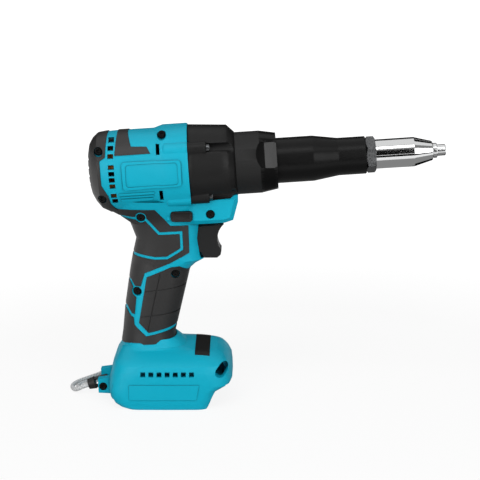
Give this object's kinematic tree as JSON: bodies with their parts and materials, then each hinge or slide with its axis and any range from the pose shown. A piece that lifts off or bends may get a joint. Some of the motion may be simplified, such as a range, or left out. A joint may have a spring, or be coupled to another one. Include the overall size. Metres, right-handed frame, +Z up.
{
  "type": "battery rivet tool",
  "caption": "Battery rivet tool with a pistol grip, a long stepped barrel with pulling jaws, a trigger, a direction selector and a foot with an open battery slot.",
  "frame": {"origin": "under the middle of the tool, on the surface that the foot stands on", "axes": "+X from the bumper to the nose, +Y to the left side of the tool, +Z up"},
  "size_m": [0.2753, 0.1331, 0.2029],
  "materials": {
    "housing": "moulded, fine satin grain",
    "rubber": "overmoulded soft rubber, matt",
    "inlay": "moulded, matt",
    "gear_black": "die cast, black coated",
    "barrel_black": "turned, black anodised",
    "nut_grey": "grey, knurled",
    "chrome": "polished chrome",
    "screw_black": "black oxide",
    "screw_bright": "zinc plated",
    "steel": "machined",
    "bearing": "ground",
    "lamination": "stacked sheet",
    "copper": "enamelled copper wire",
    "black_plastic": "moulded, matt",
    "board": "lacquered circuit board",
    "brass": "pressed strip",
    "strap_black": "braided cord",
    "strap_grey": "braided cord"
  },
  "bodies": {
    "housing": {"housing_right": "housing", "housing_left": "housing", "rear_bumper_right": "rubber", "rear_bumper_left": "rubber", "top_pad_right": "rubber", "top_pad_left": "rubber", "grip_rubber_right": "rubber", "grip_rubber_left": "rubber", "palm_pad_right": "rubber", "palm_pad_left": "rubber", "finger_pad_right": "rubber", "finger_pad_left": "rubber", "foot_inlay": "inlay", "gear_housing": "gear_black", "front_collar": "barrel_black", "barrel": "barrel_black", "lock_nut": "nut_grey", "nose_cap": "chrome", "nosepiece": "chrome", "housing_screws": "screw_black", "lug_screw": "screw_black", "gear_housing_screws": "screw_bright", "motor_bracket": "steel", "guide_key": "steel", "ring_gear": "steel", "trigger_spring": "steel", "rear_bearing": "bearing", "front_bearing": "bearing", "main_bearing": "bearing", "thrust_bearing": "bearing", "stator_core": "lamination", "stator_windings": "copper", "trigger_switch": "black_plastic", "terminal_block": "black_plastic", "control_board": "board", "battery_terminals": "brass", "strap_loop": "strap_black", "strap_ferrule": "strap_black", "wrist_strap": "strap_grey"},
    "trigger": {"trigger": "black_plastic"},
    "selector": {"direction_selector": "black_plastic"},
    "rotor": {"rotor_core": "lamination", "motor_shaft": "steel", "cooling_fan": "black_plastic", "sun_gear": "steel"},
    "carrier": {"planet_carrier": "steel", "lead_screw": "steel"},
    "planet_1": {"planet_gear_1": "steel"},
    "planet_2": {"planet_gear_2": "steel"},
    "planet_3": {"planet_gear_3": "steel"},
    "pull_head": {"drive_nut": "steel", "pull_tube": "steel", "jaw_case": "steel", "jaw_spring": "steel"},
    "jaw_1": {"jaw_1": "steel"},
    "jaw_2": {"jaw_2": "steel"},
    "jaw_3": {"jaw_3": "steel"},
    "jaw_pusher": {"jaw_pusher": "steel"}
  },
  "joints": [
    {"name": "trigger_slide", "type": "slide", "parent": "housing", "child": "trigger", "axis": [-1, 0, 0], "range_m": [0, 0.0055], "stiffness_N_per_m": 700, "springref_m": -0.004, "deforming": ["trigger_spring"]},
    {"name": "selector_slide", "type": "slide", "parent": "housing", "child": "selector", "axis": [0, 1, 0], "range_m": [-0.003, 0.003]},
    {"name": "rotor_spin", "type": "hinge", "parent": "housing", "child": "rotor", "pos_m": [0, 0, 0.1755], "axis": [0.9979, 0, 0.0654], "range_deg": [-8, 5772]},
    {"name": "carrier_spin", "type": "hinge", "parent": "housing", "child": "carrier", "pos_m": [0, 0, 0.1755], "axis": [0.9979, 0, 0.0654], "range_deg": [-2, 1443]},
    {"name": "planet_1_spin", "type": "hinge", "parent": "carrier", "child": "planet_1", "pos_m": [0.00083, 0, 0.16278], "axis": [0.9979, 0, 0.0654], "range_deg": [-4329, 6]},
    {"name": "planet_2_spin", "type": "hinge", "parent": "carrier", "child": "planet_2", "pos_m": [-0.00042, 0.01104, 0.18186], "axis": [0.9979, 0, 0.0654], "range_deg": [-4329, 6]},
    {"name": "planet_3_spin", "type": "hinge", "parent": "carrier", "child": "planet_3", "pos_m": [-0.00042, -0.01104, 0.18186], "axis": [0.9979, 0, 0.0654], "range_deg": [-4329, 6]},
    {"name": "pull_slide", "type": "slide", "parent": "housing", "child": "pull_head", "axis": [-0.9979, 0, -0.0654], "range_m": [0, 0.02]},
    {"name": "jaw_1_slide", "type": "slide", "parent": "pull_head", "child": "jaw_1", "axis": [-0.979, 0, -0.2036], "range_m": [0, 0.0022], "stiffness_N_per_m": 400, "springref_m": -0.004, "deforming": ["jaw_spring"]},
    {"name": "jaw_2_slide", "type": "slide", "parent": "pull_head", "child": "jaw_2", "axis": [-0.9927, 0.1205, 0.0047], "range_m": [-0.00005, 0.00225]},
    {"name": "jaw_3_slide", "type": "slide", "parent": "pull_head", "child": "jaw_3", "axis": [-0.9927, -0.1205, 0.0047], "range_m": [-0.00005, 0.00225]},
    {"name": "jaw_pusher_slide", "type": "slide", "parent": "pull_head", "child": "jaw_pusher", "axis": [-0.9979, 0, -0.0654], "range_m": [-0.00005, 0.00225]}
  ],
  "couplings": [
    {"joint": "rotor_spin", "follows": "pull_slide", "rad_per_m": 5026.5},
    {"joint": "carrier_spin", "follows": "pull_slide", "rad_per_m": 1256.6},
    {"joint": "planet_1_spin", "follows": "pull_slide", "rad_per_m": -3769.9},
    {"joint": "planet_2_spin", "follows": "pull_slide", "rad_per_m": -3769.9},
    {"joint": "planet_3_spin", "follows": "pull_slide", "rad_per_m": -3769.9},
    {"joint": "jaw_2_slide", "follows": "jaw_1_slide", "ratio": 1},
    {"joint": "jaw_3_slide", "follows": "jaw_1_slide", "ratio": 1},
    {"joint": "jaw_pusher_slide", "follows": "jaw_1_slide", "ratio": 0.99027}
  ]
}
